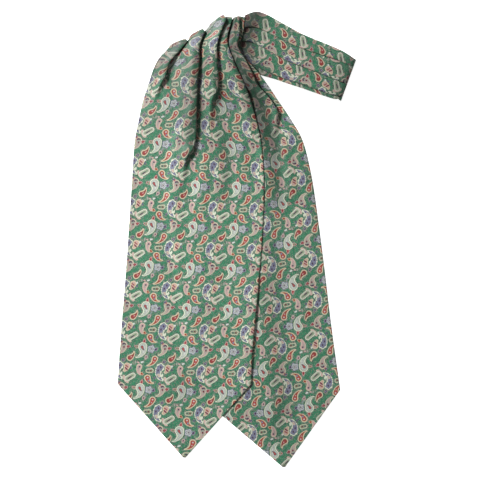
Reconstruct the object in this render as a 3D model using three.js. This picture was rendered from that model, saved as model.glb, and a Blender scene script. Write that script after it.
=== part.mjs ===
// A silk day cravat, folded once at the neck and laid flat. Units are millimetres, +Z is up,
// +Y points to the neck, and the origin is on the surface below the middle of the whole cravat.
// The front blade lies on the back blade. Both are knife pleated into the neckband, which is
// folded in half to the right. Every mountain fold faces right, and on the band it faces down.
import * as THREE from "three";

// Sizes of the cloth
const CLOTH = 1.2; // two plies of silk, pressed together
const SEAM_GAP = 0.3; // clear space between two pieces
const LAYER = 1.7; // from the middle of one pleat layer to the middle of the next
const FULL_TURN = 2.2; // a pleat with more cloth turned back than this lies quite flat
const RISE_LENGTH = 9; // how far a strip climbs before it lies on the next pleat
const TIP_WIDTH = 3; // the blunt end of a blade's point
const RAMP_START = 23; // the front blade climbs onto the back blade from this far outside its border
const RAMP_END = 12; // and is clear of it this far outside

// Sizes of the neckband, across its folded stack
const BAND_MIDDLE = 4.2; // the height where its two halves meet
const LIP_DEPTH = 4; // how far the slot under each pleat edge runs back
const NECK_HEIGHT = 8.3; // the most that the hidden layers below the neck reach

// The front blade, a row for each section from the fold at the neck down to its two corners.
// left and right are its borders and a, b and c its mountain folds, seen from above. back is the
// cloth turned back under a, b and c. rise is the height below left, a, b, c and right.
const FRONT = [
  { left: [-99, 184.5], a: [-56.5, 227], b: [-36.5, 237.5], c: [-12.5, 248.6], right: [-6, 248.8],
    back: [12.4, 13.2, 12.6], rise: [1.5, 5.4, 8.4, 10, 10.4] },
  { left: [-101.2, 180], a: [-65.5, 216], b: [-42.6, 222], c: [-21.9, 226], right: [-11, 228],
    back: [10.4, 13.2, 12.4], rise: [0.6, 5.4, 8.6, 9.8, 11] },
  { left: [-103.5, 172.5], a: [-77.5, 201.5], b: [-43.2, 202], c: [-22.4, 202.3], right: [-3, 203],
    back: [5.2, 13.2, 8], rise: [0, 4.6, 8, 9.2, 9.8] },
  { left: [-106.5, 163.5], a: [-83, 180], b: [-45, 180], c: [-21.3, 181], right: [7.4, 181],
    back: [1.4, 13.6, 4], rise: [0, 4.2, 7, 7.4, 7.4] },
  { left: [-109.6, 151], a: [-88, 158], b: [-45.7, 157], c: [-23.4, 158], right: [16, 158.5],
    back: [0, 12.6, 1], rise: [0, 3.8, 6, 5.2, 2.4] },
  { left: [-112.8, 135.5], a: [-91.5, 137], b: [-46.3, 135], c: [-24.5, 136], right: [22.2, 136],
    back: [0, 7.8, 0.3], rise: [0, 3, 4.6, 3.4, 0.6] },
  { left: [-116.7, 115.5], a: [-94, 115], b: [-47.5, 114], c: [-26, 114], right: [27.2, 114],
    back: [0, 4, 0], rise: [0, 2.2, 3.2, 2.2, 0.1] },
  { left: [-118.8, 91], a: [-96.5, 91], b: [-53.5, 91], c: [-24, 91], right: [29.7, 91],
    back: [0, 1.1, 0], rise: [0, 1.4, 1.8, 1.2, 0] },
  { left: [-120.5, 62], a: [-98, 62], b: [-54, 62], c: [-16, 62], right: [31, 62],
    back: [0, 0, 0], rise: [0, 0.6, 0.7, 0.5, 0] },
  { left: [-123.3, 20], a: [-100.5, 20], b: [-55.5, 20], c: [-10, 20], right: [29.9, 20],
    back: [0, 0, 0], rise: [0, 0.1, 0.1, 0.1, 0] },
  { left: [-126.6, -30], a: [-103.7, -30], b: [-58.2, -30], c: [-11.7, -30], right: [26.5, -30],
    back: [0, 0, 0], rise: [0, 0, 0, 0, 0] },
  { left: [-131.4, -90], a: [-108.4, -90], b: [-63, -90], c: [-16.5, -90], right: [21.2, -90],
    back: [0, 0, 0], rise: [0, 0, 0, 0, 0] },
  { left: [-134.7, -135], a: [-111.7, -135], b: [-66, -135], c: [-19.5, -135], right: [17.2, -135],
    back: [0, 0, 0], rise: [0, 0, 0, 0, 0] },
  { left: [-136.6, -166.1], a: [-113.4, -166.1], b: [-67.5, -166.1], c: [-20.8, -166.1],
    right: [16.4, -166.1], back: [0, 0, 0], rise: [0, 0, 0, 0, 0] },
];
const FRONT_TIP = [-60.2, -250.6];

// The back blade, in the same way. It has one mountain fold, a. The cloth left of it gathers
// under the front blade near the neck, where the hidden layers carry on from its left border.
const BACK = [
  { left: [-3.6, 251.6], a: [2.6, 253.4], right: [9, 252.9], back: [4.4], rise: [8.8, 9, 8.6] },
  { left: [-16, 234], a: [2.8, 234.4], right: [6.8, 236], back: [4.4], rise: [9, 9.2, 9.4] },
  { left: [-18, 222], a: [0.6, 222], right: [3.2, 222.1], back: [4.4], rise: [9, 9.2, 9.4] },
  { left: [-14, 206], a: [9.2, 206.4], right: [11.6, 206.4], back: [5.4], rise: [8.8, 9.2, 9.3] },
  { left: [-16, 190], a: [18.3, 189], right: [25.5, 190], back: [6.8], rise: [7.2, 8.4, 9] },
  { left: [-22, 176], a: [24.4, 176.5], right: [35.8, 176.5], back: [8], rise: [5.4, 4.6, 5] },
  { left: [-31, 162], a: [37, 162.4], right: [45.6, 162], back: [5.2], rise: [3.8, 1.8, 2] },
  { left: [-44, 140], a: [49, 142], right: [60.3, 140.5], back: [1.6], rise: [1.6, 0.3, 0.2] },
  { left: [-57, 113], a: [52, 114], right: [75.1, 114.4], back: [0], rise: [0.3, 0, 0] },
  { left: [-62, 80], a: [53, 80], right: [84.2, 79.9], back: [0], rise: [0, 0, 0] },
  { left: [-62.5, 42], a: [52, 44], right: [90, 45.4], back: [0], rise: [0, 0, 0] },
  { left: [-53, -32], a: [60, -25], right: [99.2, -23.6], back: [0], rise: [0, 0, 0] },
  { left: [-43, -112], a: [70, -102], right: [108.3, -99], back: [0], rise: [0, 0, 0] },
  { left: [-32.3, -189.2], a: [80, -177], right: [118.5, -172.8], back: [0], rise: [0, 0, 0] },
];
const BACK_TIP = [54.1, -261.6];

// The neckband, a row for each section from its folded end to where it goes below the neck.
// top and low are its two edges seen from above, and pleats the place of its three mountain
// folds as a share of the way from top to low.
const BAND = [
  { top: [137.1, 206.4], low: [119.9, 159.3], pleats: [0.19, 0.607, 0.925] },
  { top: [121, 216.9], low: [101, 164.8], pleats: [0.22, 0.605, 0.93] },
  { top: [99, 226.3], low: [78, 173], pleats: [0.25, 0.6, 0.935] },
  { top: [75, 236.3], low: [52, 181.8], pleats: [0.271, 0.6, 0.94] },
  { top: [52, 248.9], low: [30, 188], pleats: [0.27, 0.56, 0.91] },
  { top: [32.5, 259.3], low: [10, 194.4], pleats: [0.27, 0.53, 0.86] },
  { top: [21, 261.6], low: [3, 197], pleats: [0.27, 0.53, 0.86] },
  { top: [9.4, 257.6], low: [-3, 199], pleats: [0.27, 0.53, 0.86] },
];
// The rounded end of the band's fold, as steps in from the end and the share of full height.
const BAND_NOSE = [
  { inset: 0, height: 0.3 },
  { inset: 0.6, height: 0.62 },
  { inset: 2, height: 0.88 },
  { inset: 4.5, height: 1 },
];

// The hidden layers below the neck. Rows follow the first rows of the front blade, from inset in
// from its left border to until, which is east of the middle in millimetres.
const LAYERS_INSET = 9;
const LAYERS_UNTIL = [
  { until: [-9] }, { until: [-4] }, { until: [-17] }, { until: [-24.5] }, { until: [-35] }, { until: [-48] },
];
const LAYERS_START = 0.12; // the first row lies just inside the front blade's roll
const LAYERS_STEP = 0.45;

// A smooth value between the rows of a table, at a row number that need not be whole.
function between(rows, key, at) {
  const i = Math.min(Math.floor(at), rows.length - 2);
  const t = at - i;
  const row = (n) => rows[Math.max(0, Math.min(rows.length - 1, n))][key];
  const [p, q, r, s] = [row(i - 1), row(i), row(i + 1), row(i + 2)];
  const mix = (a, b, c, d) =>
    b + 0.5 * t * (c - a + t * (2 * a - 5 * b + 4 * c - d + t * (3 * (b - c) + d - a)));
  return q.map((_, k) => mix(p[k], q[k], r[k], s[k]));
}

// A smooth value along a section, from its values at the marks. It runs on straight past the ends.
function along(marks, values, p) {
  const last = marks.length - 1;
  const slope = (n) => {
    const [low, high] = [Math.max(0, n - 1), Math.min(last, n + 1)];
    return (values[high] - values[low]) / (marks[high] - marks[low]);
  };
  if (p <= marks[0]) return values[0] + slope(0) * (p - marks[0]);
  if (p >= marks[last]) return values[last] + slope(last) * (p - marks[last]);
  let i = 0;
  while (p > marks[i + 1]) i++;
  const width = marks[i + 1] - marks[i];
  const t = (p - marks[i]) / width;
  const ease = t * t * (3 - 2 * t);
  return (
    values[i] + (values[i + 1] - values[i]) * ease +
    width * t * (1 - t) * ((1 - t) * slope(i) - t * slope(i + 1))
  );
}

const smoothStep = (low, high, x) => {
  const t = Math.max(0, Math.min(1, (x - low) / (high - low)));
  return t * t * (3 - 2 * t);
};

// One pleat as a line of [along, up] steps: a turn down, the cloth turned back, and a turn up.
// A shallow pleat turns less than half round, so that it opens into a soft step.
function pleat(back) {
  const turn = Math.PI * Math.min(1, back / FULL_TURN);
  const straight = Math.max(0.5, back - LAYER);
  const hairpin = (Math.PI * LAYER) / 2;
  const line = [[0, 0]];
  let [x, z, heading] = [0, 0, 0];
  const walk = (length, bend, steps) => {
    for (let n = 0; n < steps; n++) {
      heading -= bend / steps / 2;
      x += (length / steps) * Math.cos(heading);
      z += (length / steps) * Math.sin(heading);
      heading -= bend / steps / 2;
      line.push([x, z]);
    }
  };
  walk(hairpin, turn, 4);
  walk(straight, 0, 1);
  walk(hairpin, -turn, 4);
  const reach = Math.max(...line.map(([step]) => step));
  return { line, reach, drop: -z };
}

// The middle line of a section as [along, up] points, with its pleats folded.
// marks are the places of the left border, each mountain fold and the right border.
function foldedLine(marks, backs) {
  const points = [];
  let start = marks[0];
  let clear = marks[0];
  const strip = (end, steps, heightAt) => {
    for (let n = 0; n < steps; n++) {
      const p = start + ((end - start) * n) / steps;
      points.push([p, heightAt(p)]);
    }
  };
  backs.forEach((back, k) => {
    const fold = pleat(back);
    const end = marks[k + 1] - fold.reach;
    const top = marks[k + 1] - back - 0.8;
    const foot = Math.max(top - RISE_LENGTH, clear + 0.8);
    strip(end, k === 0 ? 9 : 7, (p) => fold.drop * smoothStep(foot, top, p));
    for (const [step, up] of fold.line) points.push([end + step, fold.drop + up]);
    start = points.pop()[0];
    clear = marks[k + 1];
  });
  strip(marks[marks.length - 1], 6, () => 0);
  points.push([marks[marks.length - 1], 0]);
  return points;
}

// The upper and lower side of a wall round a middle line, as [along, up] points.
function sides(line) {
  return [0.5, -0.5].map((side) =>
    line.map(([p, h], n) => {
      const [before, after] = [line[Math.max(0, n - 1)], line[Math.min(line.length - 1, n + 1)]];
      const [dp, dh] = [after[0] - before[0], after[1] - before[1]];
      const length = Math.hypot(dp, dh);
      return [p - (side * CLOTH * dh) / length, h + (side * CLOTH * dp) / length];
    }),
  );
}

// A section of a blade: its marks and how [along, up] points on it lie in space.
function section(rows, keys, at, lift) {
  const plan = keys.map((key) => between(rows, key, at));
  const rise = between(rows, "rise", at);
  const backs = between(rows, "back", at).map((back) => Math.max(0, back));
  const marks = [0];
  for (let n = 1; n < plan.length; n++)
    marks.push(marks[n - 1] + Math.hypot(plan[n][0] - plan[n - 1][0], plan[n][1] - plan[n - 1][1]));
  const [xs, ys] = [plan.map((p) => p[0]), plan.map((p) => p[1])];
  const spot = (p) => [along(marks, xs, p), along(marks, ys, p)];
  const ground = (p) => {
    const [x, y] = spot(p);
    return CLOTH / 2 + Math.max(0, along(marks, rise, p)) + lift(x, y);
  };
  const place = ([p, h]) => [...spot(p), ground(p) + h];
  const outward = (p) => {
    const [[x0, y0], [x1, y1]] = [spot(p - 1), spot(p + 1)];
    const length = Math.hypot(x1 - x0, y1 - y0);
    return [(y0 - y1) / length, (x1 - x0) / length];
  };
  return { marks, backs, spot, ground, place, outward };
}

const FRONT_KEYS = ["left", "a", "b", "c", "right"];
const BACK_KEYS = ["left", "a", "right"];

// The hidden left border of the back blade, as east of the middle at each place north of it.
function backLeft(y) {
  const rows = BACK.filter((row) => row.left[1] < 206).map((row) => row.left);
  const corner = rows[rows.length - 1];
  if (y < corner[1]) {
    const share = (corner[1] - y) / (corner[1] - BACK_TIP[1]);
    return corner[0] + share * (BACK_TIP[0] - corner[0]);
  }
  const n = Math.max(1, rows.findIndex((row) => row[1] <= y));
  const [above, below] = [rows[n - 1], rows[n]];
  const share = Math.min(1, (above[1] - y) / (above[1] - below[1]));
  return above[0] + Math.max(0, share) * (below[0] - above[0]);
}

// How far the front blade is lifted by the back blade below it.
function frontLift(x, y) {
  const border = backLeft(y);
  return (CLOTH + SEAM_GAP) * smoothStep(border - RAMP_START, border - RAMP_END, x);
}

// A closed solid through rings of points, each one with as many points as the next.
function loft(rings, cap) {
  const count = rings[0].length;
  const index = [];
  for (let j = 0; j + 1 < rings.length; j++)
    for (let i = 0; i < count; i++) {
      const next = (i + 1) % count;
      const [a, b, c, d] = [j * count + i, j * count + next, (j + 1) * count + next, (j + 1) * count + i];
      index.push(a, b, c, a, c, d);
    }
  const last = (rings.length - 1) * count;
  for (const [a, b, c] of cap) {
    index.push(a, c, b);
    index.push(last + a, last + b, last + c);
  }
  const points = rings.flat();
  let volume = 0;
  for (let n = 0; n < index.length; n += 3) {
    const [a, b, c] = [0, 1, 2].map((k) => new THREE.Vector3(...points[index[n + k]]));
    volume += a.dot(b.cross(c));
  }
  if (volume < 0) index.reverse();
  const geometry = new THREE.BufferGeometry();
  geometry.setAttribute("position", new THREE.Float32BufferAttribute(points.flat(), 3));
  geometry.setIndex(index);
  geometry.computeVertexNormals();
  return geometry;
}

// The end faces of a wall, whose rings run along its upper side and back along its lower side.
function ribbon(count) {
  const faces = [];
  for (let i = 0; i + 1 < count; i++) {
    const [a, b, c, d] = [i, i + 1, 2 * count - 2 - i, 2 * count - 1 - i];
    faces.push([a, b, c], [a, c, d]);
  }
  return faces;
}

// A blade's wall: its roll at the neck, its sections and its point.
function bladeWall({ rows, keys, lift, stations, tip, tipShares, roll }) {
  const rings = [];
  const ring = (line, place) => {
    const [upper, lower] = sides(line);
    return [...upper.map(place), ...lower.reverse().map(place)];
  };
  const first = section(rows, keys, 0, lift);
  const firstLine = foldedLine(first.marks, first.backs);
  // The roll turns each layer round a middle line at half the height of the whole stack.
  for (const angle of roll) {
    const [cos, sin] = [Math.cos(angle), Math.sin(angle)];
    rings.push(
      ring(firstLine, ([p, h]) => {
        const climb = 2 * LAYER * smoothStep(first.marks[0], first.marks[1] - first.backs[0], p);
        const middle = (first.ground(p) + climb + CLOTH / 2) / 2 + 0.05;
        const radius = first.ground(p) + h - middle;
        const [x, y] = first.spot(p);
        const [east, north] = first.outward(p);
        return [x + east * radius * sin, y + north * radius * sin, middle + radius * cos];
      }),
    );
  }
  for (const at of stations) {
    const here = section(rows, keys, at, lift);
    rings.push(ring(foldedLine(here.marks, here.backs), here.place));
  }
  const corners = section(rows, keys, rows.length - 1, lift);
  const cornerLine = foldedLine(corners.marks, corners.backs);
  const ends = [rows[rows.length - 1].left, rows[rows.length - 1].right];
  for (const share of tipShares)
    rings.push(
      ring(cornerLine, ([p, h]) => {
        const [x, y] = corners.spot(p);
        const across = (x - ends[0][0]) / (ends[1][0] - ends[0][0]);
        const east = x + (tip[0] + (across - 0.5) * TIP_WIDTH - x) * share;
        const north = y + (tip[1] - y) * share;
        return [east, north, CLOTH / 2 + lift(east, north) + h];
      }),
    );
  return loft(rings, ribbon(rings[0].length / 2));
}

function frontBlade() {
  return bladeWall({
    rows: FRONT,
    keys: FRONT_KEYS,
    lift: frontLift,
    roll: [1, 0.8, 0.6, 0.4, 0.2].map((share) => share * Math.PI),
    stations: [0, 0.5, 1, 1.5, 2, 2.5, 3, 3.5, 4, 4.5, 5, 5.5, 6, 7, 8, 9.5, 11, 12, 13],
    tip: FRONT_TIP,
    tipShares: [0.12, 0.25, 0.4, 0.55, 0.75, 1],
  });
}

function backBlade() {
  return bladeWall({
    rows: BACK,
    keys: BACK_KEYS,
    lift: () => 0,
    roll: [],
    stations: [0, 0.5, 1, 2, 2.5, 3, 3.5, 4, 4.5, 5, 5.5, 6, 6.5, 7, 8, 9, 10, 11, 12, 13],
    tip: BACK_TIP,
    tipShares: [0.5, 1],
  });
}

// The edge of the folded band as [in, up] points from the bottom up, with a slot between layers.
const BAND_EDGE = [
  [1.2, 0], [0.3, 0.5], [0, 1.3], [0.3, 1.95], [2.6, 2.05], [2.6, 2.35], [0.3, 2.45], [0, 3.2],
  [0.3, 3.95], [5, 4.05], [5, 4.35], [0.3, 4.45], [0, 5.2], [0.5, 6.2], [1.5, 6.7],
];
// A pleat edge on the band as [in, up] points, from the strip below it up and over its fold.
const BAND_LIP = [
  [-1.2, 6.9], [LIP_DEPTH, 7], [LIP_DEPTH, 7.35], [0.4, 7.5], [0, 8], [0.4, 8.5], [1.6, 8.8], [6, 8.75],
];

function neckband() {
  const ringAt = (at, inset, height) => {
    const [top, low, pleats] = ["top", "low", "pleats"].map((key) => between(BAND, key, at));
    const width = Math.hypot(low[0] - top[0], low[1] - top[1]);
    const outline = BAND_EDGE.map(([step, up]) => [width - step, up]);
    for (const share of [...pleats].reverse())
      for (const [step, up] of BAND_LIP) outline.push([share * width - step, up]);
    outline.push([2.4, 7.6]);
    for (const [step, up] of [...BAND_EDGE].reverse().slice(1)) outline.push([step, up]);
    const [before, after] = [between(BAND, "top", 0), between(BAND, "top", 1)];
    const run = Math.hypot(after[0] - before[0], after[1] - before[1]);
    const shift = [((after[0] - before[0]) * inset) / run, ((after[1] - before[1]) * inset) / run];
    const points = outline.map(([q, up]) => [
      top[0] + ((low[0] - top[0]) * q) / width + shift[0],
      top[1] + ((low[1] - top[1]) * q) / width + shift[1],
      BAND_MIDDLE + (up - BAND_MIDDLE) * height,
    ]);
    return { outline, points };
  };
  const sections = BAND_NOSE.map(({ inset, height }) => ringAt(0, inset, height));
  for (const at of [0.5, 1, 1.5, 2, 3, 4, 5, 6, 7]) sections.push(ringAt(at, 0, 1));
  const contour = sections[0].outline.map(([q, up]) => new THREE.Vector2(q, up));
  return loft(sections.map(({ points }) => points), THREE.ShapeUtils.triangulateShape(contour, []));
}

// The pleats' hidden layers: one rounded solid that fills the space below the front blade's neck.
function foldedLayers() {
  const steps = 14;
  const rings = [];
  for (let at = LAYERS_START; at < LAYERS_UNTIL.length - 1; at += LAYERS_STEP) {
    const here = section(FRONT, FRONT_KEYS, at, frontLift);
    const limit = between(LAYERS_UNTIL, "until", at)[0];
    const [upper, lower] = [[], []];
    let end = here.marks[4];
    while (here.spot(end)[0] > limit) end -= 0.5;
    for (let n = 0; n <= steps; n++) {
      const p = LAYERS_INSET + ((end - LAYERS_INSET) * n) / steps;
      const [x, y] = here.spot(p);
      const height = Math.min(here.ground(p) - CLOTH / 2 - SEAM_GAP, NECK_HEIGHT);
      upper.push([x, y, Math.max(0.4, height)]);
      lower.push([x, y, 0]);
    }
    rings.push([...upper, ...lower.reverse()]);
  }
  return loft(rings, ribbon(steps + 1));
}

const group = new THREE.Group();
group.name = "silk_cravat";

function addPiece(name, geometry, colour) {
  const material = new THREE.MeshStandardMaterial({ color: colour, roughness: 0.5, metalness: 0 });
  const mesh = new THREE.Mesh(geometry, material);
  mesh.name = name;
  group.add(mesh);
}

addPiece("front_blade", frontBlade(), 0x7f9482);
addPiece("back_blade", backBlade(), 0x6f8270);
addPiece("neckband", neckband(), 0x667a68);
addPiece("folded_layers", foldedLayers(), 0x4f6655);

export default group;
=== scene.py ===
"""A silk day cravat with a paisley print, folded once at the neck and laid flat.

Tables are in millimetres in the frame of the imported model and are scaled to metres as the
meshes are made. The print is drawn by nodes from each piece's own cloth coordinates.
"""

import bpy
import numpy as np
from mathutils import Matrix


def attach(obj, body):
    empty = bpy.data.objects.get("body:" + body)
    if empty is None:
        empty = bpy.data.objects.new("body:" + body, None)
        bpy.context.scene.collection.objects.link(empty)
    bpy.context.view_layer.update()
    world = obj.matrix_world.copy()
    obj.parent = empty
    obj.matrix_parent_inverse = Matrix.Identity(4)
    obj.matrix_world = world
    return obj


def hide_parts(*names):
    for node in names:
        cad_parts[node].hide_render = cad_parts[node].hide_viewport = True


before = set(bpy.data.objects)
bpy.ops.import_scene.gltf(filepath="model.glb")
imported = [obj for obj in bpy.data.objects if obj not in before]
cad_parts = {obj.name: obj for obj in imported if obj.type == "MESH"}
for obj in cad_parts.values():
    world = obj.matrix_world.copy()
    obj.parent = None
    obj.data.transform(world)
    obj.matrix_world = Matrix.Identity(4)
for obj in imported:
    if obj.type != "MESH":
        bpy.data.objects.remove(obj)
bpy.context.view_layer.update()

# Camera
# It looks straight down from far off, and its view is 575 mm wide.
VIEW_WIDTH = 0.575
VIEW_CENTRE = (0.0152, -0.0121)
CAMERA_HEIGHT = 3.0
SENSOR = 36.0

camera = bpy.data.cameras.new("camera")
camera.sensor_width = SENSOR
camera.lens = SENSOR * CAMERA_HEIGHT / VIEW_WIDTH
camera_object = bpy.data.objects.new("camera", camera)
camera_object.location = (*VIEW_CENTRE, CAMERA_HEIGHT)
bpy.context.collection.objects.link(camera_object)
bpy.context.scene.camera = camera_object

# Back blade
# The lower of the two wide blades, two plies of printed silk with an 85 degree point. Near the
# neck its cloth gathers under the front blade, and one pleat shows beside the front's border.
# Sections from the neck down, each by its left border, its fold and its right border
BACK_PLAN = [
    [(-3.6, 254), (2.6, 255.8), (9, 254.9)],
    [(-16, 234), (2.8, 234.4), (6.8, 236)],
    [(-18, 222), (0.6, 222), (3.2, 222.1)],
    [(-14, 206), (9.2, 206.4), (11.6, 206.4)],
    [(-16, 190), (18.3, 189), (25.5, 190)],
    [(-22, 176), (24.4, 176.5), (35.8, 176.5)],
    [(-31, 162), (37, 162.4), (45.6, 162)],
    [(-44, 140), (49, 142), (60.3, 140.5)],
    [(-57, 113), (52, 114), (75.1, 114.4)],
    [(-62, 80), (53, 80), (84.2, 79.9)],
    [(-62.5, 42), (52, 44), (90, 45.4)],
    [(-53, -32), (60, -25), (99.2, -23.6)],
    [(-43, -112), (70, -102), (108.3, -99)],
    [(-32.3, -189.2), (80, -177), (118.5, -172.8)],
]
# How far the pleat's cloth runs back, and how far the middle line is raised, at each section
BACK_TURNED = [[4.4], [4.4], [4.4], [5.4], [6.8], [8], [5.2], [1.6], [0], [0], [0], [0], [0], [0]]
BACK_RISE = [
    (8.8, 9, 8.6), (9, 9.2, 9.4), (9, 9.2, 9.4), (8.8, 9.2, 9.3), (7.2, 8.4, 9), (5.4, 4.6, 5),
    (3.8, 1.8, 2), (1.6, 0.3, 0.2), (0.3, 0, 0), (0, 0, 0), (0, 0, 0), (0, 0, 0), (0, 0, 0), (0, 0, 0),
]
BACK_TIP = (54.1, -261.6)
BACK_PAISLEY = (76.8, -143.2)
# The trough that comes down from the neck, the ridges on both its sides and faint ones below
BACK_FOLDS = [
    ([(-2, 207), (6, 194), (14, 178), (22, 160)], -2.0, 5.0),
    ([(26, 150), (30, 122), (33, 100), (34, 74), (33, 52)], 2.2, 6.5),
    ([(52, 126), (57, 98), (61, 72), (60, 44)], 2.4, 8.0),
    ([(33, 20), (38, -30), (45, -80), (50, -140)], 0.7, 9.0),
    ([(62, 10), (66, -40), (72, -90), (74, -130)], 0.8, 12.0),
    ([(52, -146), (58, -190), (62, -226)], 0.7, 9.0),
]

# Painted shade along paths: the valley from the neck, the strip beside the front blade's border,
# two faint ones down to the tip, and the turned right border
BACK_SHADE_PATHS = [
    (
        [(-10, 262), (0, 225), (9, 200), (20, 178), (29, 158), (37, 130), (45, 102), (47, 60), (47, 24)],
        0.85,
        9.0,
    ),
    ([(-2, 206), (8, 188), (16, 168), (22, 150), (26, 128), (28, 100)], 0.9, 5.0),
    ([(46, 74), (42, 20), (40, -60), (46, -140), (52, -190), (46, -236)], 0.3, 13.0),
    ([(54, -150), (51, -190), (43, -244)], 0.25, 10.0),
    ([(60, 140), (75, 114), (84, 80), (90, 45), (98, -10)], 0.38, 8.0),
]
# The front blade's border, whose shadow is painted on this one, how wide it is and where it fades
SHADE_BORDER = [(30, 90), (22, 136), (16, 158), (7, 181), (-3, 203), (-11, 228), (-6, 249)]
SHADE_WIDTH = 8.5
SHADE_FADES = (60.0, 130.0)

# The print of its silk is a square repeat of common paisley, 47.15 mm wide, charted in
# forty-firsts of the repeat. The chart's x runs across the blade and its y up to the neck, from
# the big ivory paisley.
REPEAT = 47.15
CHART = 41.0

INK = {
    "green": (64, 140, 102),
    "green_deep": (50, 120, 88),
    "ivory": (218, 224, 202),
    "cream": (208, 202, 176),
    "peach": (210, 182, 144),
    "pink": (202, 168, 164),
    "rose": (186, 84, 76),
    "red": (156, 62, 54),
    "wine": (112, 44, 58),
    "plum": (78, 56, 78),
    "lilac": (136, 138, 162),
    "slate": (92, 98, 122),
    "grey": (160, 166, 152),
    "sage": (128, 152, 124),
    "white": (208, 213, 206),
    "rust": (150, 86, 64),
    "fringe": (136, 152, 140),
    "fringe_pink": (146, 124, 122),
    "fringe_dark": (74, 84, 78),
    "line": (108, 108, 108),
    # The dark that painted shade blends toward, deep in folds and where light is poor
    "painted_shade": (24, 30, 26),
}

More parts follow.
